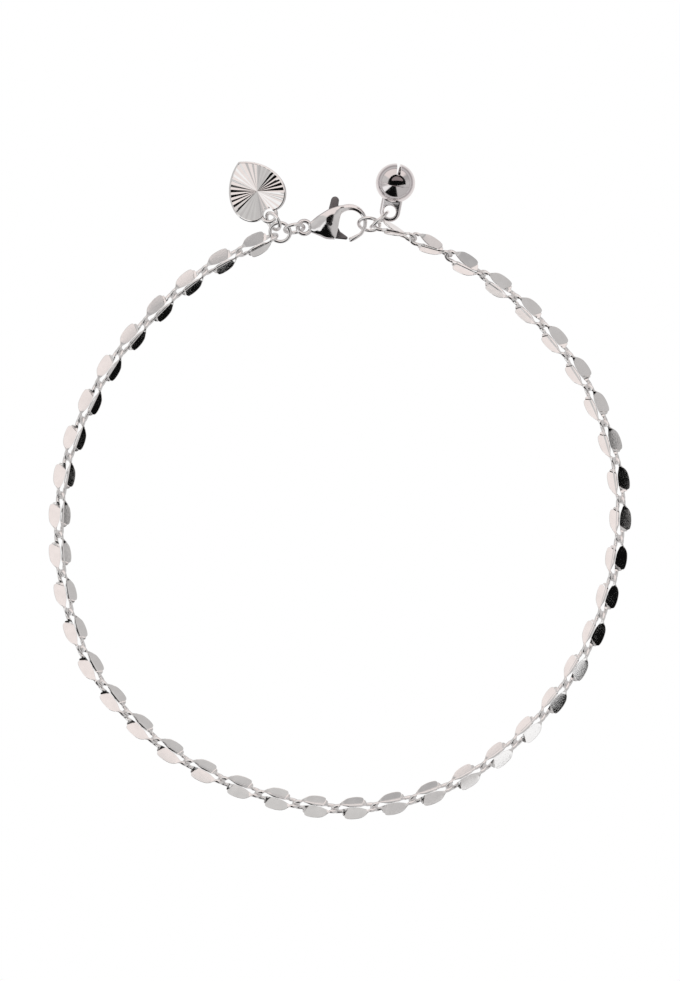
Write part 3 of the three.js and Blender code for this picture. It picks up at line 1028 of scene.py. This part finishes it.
def casting_mesh(settings):
    """The clasp's body with its eye, the lever's slot and the rivet's bore."""
    sections = [rib_section(*rib) for rib in smooth_ribs(all_ribs(), PARTS_PER_RIB)]
    body = loft("casting", sections)
    wire = settings.eye_wire / MM
    eye = level_ring(
        CLASP_EYE, CLASP_EYE_MIDDLE, wire, CLASP_EYE_STEPS, EYE_CORNERS, EYE_HALF_HEIGHT
    )
    body = combine(body, eye, "UNION")
    grow = settings.clearance / MM
    half = settings.lever / MM / 2 + grow
    for swing in range(SLOT_SWINGS):
        turn = settings.opens * swing / (SLOT_SWINGS - 1)
        for start, end in LEVER_BARS:
            tool = bar_mesh(start, end, half, [(-1, grow), (1, grow)], turn, LEVER_PIVOT)
            body = combine(body, tool, "DIFFERENCE")
    return combine(body, bore_tool(LEVER_PIVOT, settings), "DIFFERENCE")


def clasp_origin():
    """The clasp's origin in millimetres, from the rivet in the frame."""
    low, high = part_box("clasp_pin")
    return (low + high) / 2 / MM - LEVER_PIVOT


class BRACELET_OT_clasp(bpy.types.Operator):
    """Builds the clasp's casting, rivet and lever"""

    bl_idname = "bracelet.clasp"
    bl_label = "Clasp"

    def execute(self, context):
        settings = context.scene.bracelet_clasp
        finish = context.scene.bracelet_finish
        origin = clasp_origin()
        at_origin = Matrix.Translation(origin * MM)
        at_pivot = Matrix.Translation((origin + LEVER_PIVOT) * MM)
        casting = casting_mesh(settings)
        sharpen(casting, "clasp")
        silver = clasp_silver(finish)
        add_piece("clasp_casting", casting, at_origin, silver, "bracelet", "clasp_body")
        half = RIVET_REACH * max(rib[2] for rib in BODY_RIBS)
        rivet = settings.rivet / MM
        profile = [(-half, 0), (-half, rivet - RIVET_BEVEL), (-half + RIVET_BEVEL, rivet)]
        profile += [(-along, radius) for along, radius in reversed(profile)]
        pin = lathe("rivet", profile, RIVET_STEPS)
        upright = at_pivot @ Matrix.Rotation(-math.pi / 2, 4, "Y")
        add_piece("clasp_rivet", pin, upright, silver, "bracelet", "clasp_pin")
        lever = lever_mesh(settings)
        sharpen(lever, "clasp")
        add_piece("clasp_thumb_lever", lever, at_pivot, lever_steel(finish), "clasp_lever",
                  "clasp_lever")
        return {"FINISHED"}


# ---- Finishes ----


BLOTCH_BAND = (0.3, 0.7)        # the noise's values between which the gloss changes
TINT_BAND = (0.35, 0.65)        # and between which the colour does
SCRATCH_STRETCH = (1.0, 6.0, 3.0)
SCRATCH_TURN = (0.3, 0.2, 0.6)
SCRATCH_LENGTH = 0.45
SCRATCH_DEPTH = 0.02


def fill(socket, value):
    """Joins a socket to another one, or sets its own value."""
    if isinstance(value, bpy.types.NodeSocket):
        socket.id_data.links.new(value, socket)
    else:
        socket.default_value = value


def add_node(nodes, kind, inputs, **traits):
    """The outputs of a new shader node with these traits and inputs."""
    node = nodes.new("ShaderNode" + kind)
    for name, value in traits.items():
        setattr(node, name, value)
    for name, value in inputs.items():
        fill(node.inputs[name], value)
    return node.outputs


def worn_metal(name, base, shine, blotch_mm, scratch, tint=0.03, grain=None):
    """Metal whose gloss and colour vary in soft blotches, with fine rubbed scratches."""
    material = bpy.data.materials.new(name)
    material.use_nodes = True
    nodes = material.node_tree.nodes
    shader = nodes["Principled BSDF"].inputs
    shader["Metallic"].default_value = 1.0
    where = add_node(nodes, "TexCoord", {})["Object"]
    blotches = {"Vector": where, "Scale": 1 / (blotch_mm * MM), "Detail": 4.0}
    blotch = add_node(nodes, "TexNoise", blotches)["Fac"]
    names = ("From Min", "From Max", "To Min", "To Max")
    gloss = dict(zip(names, (*BLOTCH_BAND, *shine)))
    fill(shader["Roughness"], add_node(nodes, "MapRange", gloss | {"Value": blotch})["Result"])
    ramp = nodes.new("ShaderNodeValToRGB")
    fill(ramp.inputs["Fac"], blotch)
    for stop, place, level in zip(ramp.color_ramp.elements, TINT_BAND, (1 - tint, 1 + tint)):
        stop.position = place
        stop.color = (*[min(1, c * level) for c in base], 1)
    fill(shader["Base Color"], ramp.outputs["Color"])
    turning = {"Vector": where, "Rotation": SCRATCH_TURN}
    if grain:
        turning = {"Vector": add_node(nodes, "UVMap", {}, uv_map=grain)["UV"]}
    stretch = add_node(nodes, "Mapping", turning | {"Scale": SCRATCH_STRETCH})["Vector"]
    scratches = {"Vector": stretch, "Scale": 1 / (SCRATCH_LENGTH * MM), "Detail": 3.0}
    lines = add_node(nodes, "TexNoise", scratches)["Fac"]
    bump = {"Strength": scratch, "Distance": SCRATCH_DEPTH * MM, "Height": lines}
    fill(shader["Normal"], add_node(nodes, "Bump", bump)["Normal"])
    return material


def chain_silver(finish):
    return worn_metal("rolled_silver", finish.silver, (0.05, 0.13), 1.1, 0.2, grain="grain")


def wire_silver(finish):
    return worn_metal("drawn_silver_wire", finish.silver, (0.05, 0.12), 0.8, 0.1)


def heart_silver(finish):
    return worn_metal("ray_cut_silver", finish.heart, (0.04, 0.09), 1.6, 0.06)


def bell_silver(finish):
    return worn_metal("spun_silver", finish.bell, (0.07, 0.14), 1.4, 0.1)


def clasp_silver(finish):
    return worn_metal("cast_silver", finish.clasp, (0.05, 0.12), 1.3, 0.12)


def lever_steel(finish):
    return worn_metal("dark_lever_steel", finish.lever, (0.18, 0.32), 0.9, 0.3, 0.08)


# ---- Stage ----

# The light round the bracelet by bearing, in degrees counterclockwise from +X.
STUDIO_BEARINGS = [
    (-180, "side"), (-166, "side"), (-161, "bright"), (-142, "bright"), (-139, "gap"),
    (-83, "gap"), (-79, "side"), (-20, "side"), (0, "pale"), (12, "side"), (18, "soft"),
    (34, "soft"), (45, "panel"), (142, "panel"), (147, "pale"), (172, "pale"), (180, "side"),
]
# The edge of the dark hole that the camera looks through, in degrees from straight up.
HOLE = (5, 8)

# The card over the bell and its window, which glow and paint a dark reflection with a grey patch on
# the bell's top: left, right, bottom and top from the bell's middle, and the height over it, in
# millimetres.
CARD = (-3.6, 6.8, -1.0, 4.2)
CARD_WINDOW = (-1.5, 3.5, 0.85, 2.7)
CARD_HEIGHT = 5.0
WINDOW_HEIGHT = 4.95
CARD_PEAK = 0.42        # where the card is tallest, from its left to its right
CARD_STEPS = 32

TABLE_HALF = 3000.0     # of the table's side, in millimetres
TABLE_DROP = 0.01
CAMERA_CLIP = (0.01, 20.0)      # in metres
# Where the table's painted light and painted shade change, in millimetres from the bell or from the
# ring's middle: a painted pool of light round the bell, painted shade round that and far away.
PAINTED_LIGHT_EDGE = (6, 11)
PAINTED_SHADE_EDGE = (13, 17)
FAR_PAINTED_SHADE_EDGE = (70, 120)


def soft_step(nodes, value, band, unit):
    """A smooth step from 0 to 1 over a band, which is given in a unit."""
    inputs = {"Value": value, "From Min": band[0] * unit, "From Max": band[1] * unit}
    return add_node(nodes, "MapRange", inputs, interpolation_type="SMOOTHSTEP")["Result"]


def blend(nodes, share, *tones):
    """A colour between two tones, which are colours or sockets."""
    first, second = (t if isinstance(t, bpy.types.NodeSocket) else (*t, 1) for t in tones)
    inputs = {"Factor": share, "A": first, "B": second}
    return add_node(nodes, "Mix", inputs, data_type="RGBA")["Result"]


def white_to_camera(nodes, tone):
    """Plain white where the camera looks straight at it, else the tone."""
    seen = add_node(nodes, "LightPath", {})["Is Camera Ray"]
    return blend(nodes, seen, tone, (1, 1, 1))


def light_the_room(settings):
    """A soft studio by direction: a warm panel, grey sides and a dark gap."""
    world = bpy.data.worlds.new("studio")
    bpy.context.scene.world = world
    world.use_nodes = True
    nodes = world.node_tree.nodes
    where = add_node(nodes, "TexCoord", {})["Generated"]
    x, y, z = add_node(nodes, "SeparateXYZ", {0: where})
    bearing = add_node(nodes, "Math", {0: y, 1: x}, operation="ARCTAN2")["Value"]
    turn = {0: bearing, 1: 1 / (2 * math.pi), 2: 0.5}
    ramp = nodes.new("ShaderNodeValToRGB")
    fill(ramp.inputs["Fac"], add_node(nodes, "Math", turn, operation="MULTIPLY_ADD")["Value"])
    elements = ramp.color_ramp.elements
    while len(elements) < len(STUDIO_BEARINGS):
        elements.new(0.5)
    for element, (degrees, name) in zip(elements, STUDIO_BEARINGS):
        element.position = degrees / 360 + 0.5
        element.color = (*getattr(settings, name), 1)
    from_above = add_node(nodes, "Math", {0: z}, operation="ARCCOSINE")["Value"]
    lit = soft_step(nodes, from_above, HOLE, math.radians(1))
    room = blend(nodes, lit, settings.gap, ramp.outputs["Color"])
    fill(nodes["Background"].inputs["Color"], white_to_camera(nodes, room))


def floor_distance(nodes, spot):
    """How far a place on the floor is from the one below a spot, in metres."""
    place = add_node(nodes, "TexCoord", {})["Object"]
    below = (spot.x, spot.y, CAD_BOX[0].z)
    return add_node(nodes, "VectorMath", {0: place, 1: below}, operation="DISTANCE")["Value"]


def glow_material(name):
    """A material that only glows, and the socket of its colour."""
    material = bpy.data.materials.new(name)
    material.use_nodes = True
    nodes = material.node_tree.nodes
    nodes.remove(nodes["Principled BSDF"])
    glow = nodes.new("ShaderNodeEmission")
    fill(nodes["Material Output"].inputs["Surface"], glow.outputs["Emission"])
    return material, glow.inputs["Color"]


def stage_face(name, points, material):
    """One flat face of the stage, through points in millimetres."""
    mesh = bpy.data.meshes.new(name)
    mesh.from_pydata([p * MM for p in points], [], [tuple(range(len(points)))])
    mesh.materials.append(material)
    face = bpy.data.objects.new(name, mesh)
    bpy.context.scene.collection.objects.link(face)
    return face


def lay_floor(settings):
    """A wide pale table that the bracelet lies on, which glows. In the silver's reflections it shows
    a painted pool of light round the bell and painted shade round that and far away.
    """
    low = CAD_BOX[0].z / MM - TABLE_DROP
    sides = [(-1, -1), (1, -1), (1, 1), (-1, 1)]
    corners = [Vector((x * TABLE_HALF, y * TABLE_HALF, low)) for x, y in sides]
    material, tone_socket = glow_material("glowing_table_with_painted_light")
    nodes = material.node_tree.nodes
    from_middle = floor_distance(nodes, (CAD_BOX[0] + CAD_BOX[1]) / 2)
    from_bell = floor_distance(nodes, sum(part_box("bell"), Vector()) / 2)
    near, dim, far = (
        soft_step(nodes, distance, edge, MM)
        for distance, edge in ((from_bell, PAINTED_LIGHT_EDGE), (from_bell, PAINTED_SHADE_EDGE), (from_middle, FAR_PAINTED_SHADE_EDGE))
    )
    # Painted shade beyond the bell, a painted pool of light close round the bell, and painted shade
    # far from the bracelet.
    tone = blend(nodes, dim, settings.painted_shade_floor, settings.floor)
    tone = blend(nodes, near, settings.painted_light_floor, tone)
    tone = blend(nodes, far, tone, settings.painted_shade_floor)
    fill(tone_socket, white_to_camera(nodes, tone))
    stage_face("table", corners, material)


def hang_card(settings):
    """A small card glowing near black, with a window glowing grey, close over the bell and seen only
    in its shine: a painted dark reflection with a painted grey patch on the bell's top.
    """
    low, high = (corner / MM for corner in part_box("bell"))
    radius = bpy.context.scene.bracelet_bell.radius / MM
    middle = Vector(((low.x + high.x) / 2, high.y - radius, low.z + radius))
    for name, height, tone, outline in (
        # Both sheets only glow and are hidden from the camera: a painted dark reflection and a
        # painted grey patch on the bell.
        ("card", CARD_HEIGHT, settings.gap, CARD),
        ("painted_reflection_window", WINDOW_HEIGHT, settings.window, CARD_WINDOW),
    ):
        left, right, bottom, top = outline
        peak = lerp(left, right, CARD_PEAK)
        points = []
        for step in range(CARD_STEPS + 1):
            turn = math.pi * step / CARD_STEPS
            reach = (right - peak) if turn < math.pi / 2 else (peak - left)
            x, y = peak + reach * math.cos(turn), lerp(bottom, top, math.sin(turn))
            points.append(middle + Vector((x, y, height)))
        material, tone_socket = glow_material(name)
        fill(tone_socket, (*tone, 1))
        stage_face(name, points, material).visible_camera = False


def aim_camera(settings):
    """Straight down over the middle of the bracelet."""
    low, high = CAD_BOX
    middle = (low + high) / 2
    data = bpy.data.cameras.new("camera")
    data.lens = settings.lens
    camera = bpy.data.objects.new("camera", data)
    bpy.context.scene.collection.objects.link(camera)
    distance = settings.field * settings.lens / data.sensor_width
    camera.location = (middle.x, middle.y, low.z + settings.chain_height + distance)
    data.clip_start, data.clip_end = CAMERA_CLIP
    bpy.context.scene.camera = camera


class BRACELET_OT_stage(bpy.types.Operator):
    """Sets the light, the pale table and the camera"""

    bl_idname = "bracelet.stage"
    bl_label = "Stage"

    def execute(self, context):
        settings = context.scene.bracelet_studio
        context.scene.view_settings.view_transform = "Standard"
        light_the_room(settings)
        lay_floor(settings)
        hang_card(settings)
        aim_camera(settings)
        return {"FINISHED"}


# ---- Panel and start ----

SETTINGS = {
    "bracelet_chain": ChainSettings,
    "bracelet_rings": RingSettings,
    "bracelet_heart": HeartSettings,
    "bracelet_bell": BellSettings,
    "bracelet_clasp": ClaspSettings,
    "bracelet_finish": FinishSettings,
    "bracelet_studio": StudioSettings,
}
OPERATORS = [
    BRACELET_OT_stage,
    BRACELET_OT_chain,
    BRACELET_OT_jump_rings,
    BRACELET_OT_heart,
    BRACELET_OT_bell,
    BRACELET_OT_clasp,
]


class BRACELET_PT_panel(bpy.types.Panel):
    """Lists the bracelet's pieces and their sizes"""

    bl_idname = "BRACELET_PT_panel"
    bl_label = "Bracelet"
    bl_space_type = "VIEW_3D"
    bl_region_type = "UI"
    bl_category = "Bracelet"

    def draw(self, context):
        for operator in OPERATORS:
            self.layout.operator(operator.bl_idname)
        for name, group in SETTINGS.items():
            box = self.layout.box()
            for field in group.__annotations__:
                box.prop(getattr(context.scene, name), field)


def register():
    for group in SETTINGS.values():
        bpy.utils.register_class(group)
    for operator in OPERATORS:
        bpy.utils.register_class(operator)
    bpy.utils.register_class(BRACELET_PT_panel)
    for name, group in SETTINGS.items():
        setattr(bpy.types.Scene, name, PointerProperty(type=group))


def unregister():
    for name in SETTINGS:
        delattr(bpy.types.Scene, name)
    bpy.utils.unregister_class(BRACELET_PT_panel)
    for operator in reversed(OPERATORS):
        bpy.utils.unregister_class(operator)
    for group in reversed(SETTINGS.values()):
        bpy.utils.unregister_class(group)


def main():
    register()
    bpy.ops.bracelet.stage()
    bpy.ops.bracelet.chain()
    bpy.ops.bracelet.jump_rings()
    bpy.ops.bracelet.heart()
    bpy.ops.bracelet.bell()
    bpy.ops.bracelet.clasp()


if __name__ == "__main__":
    main()
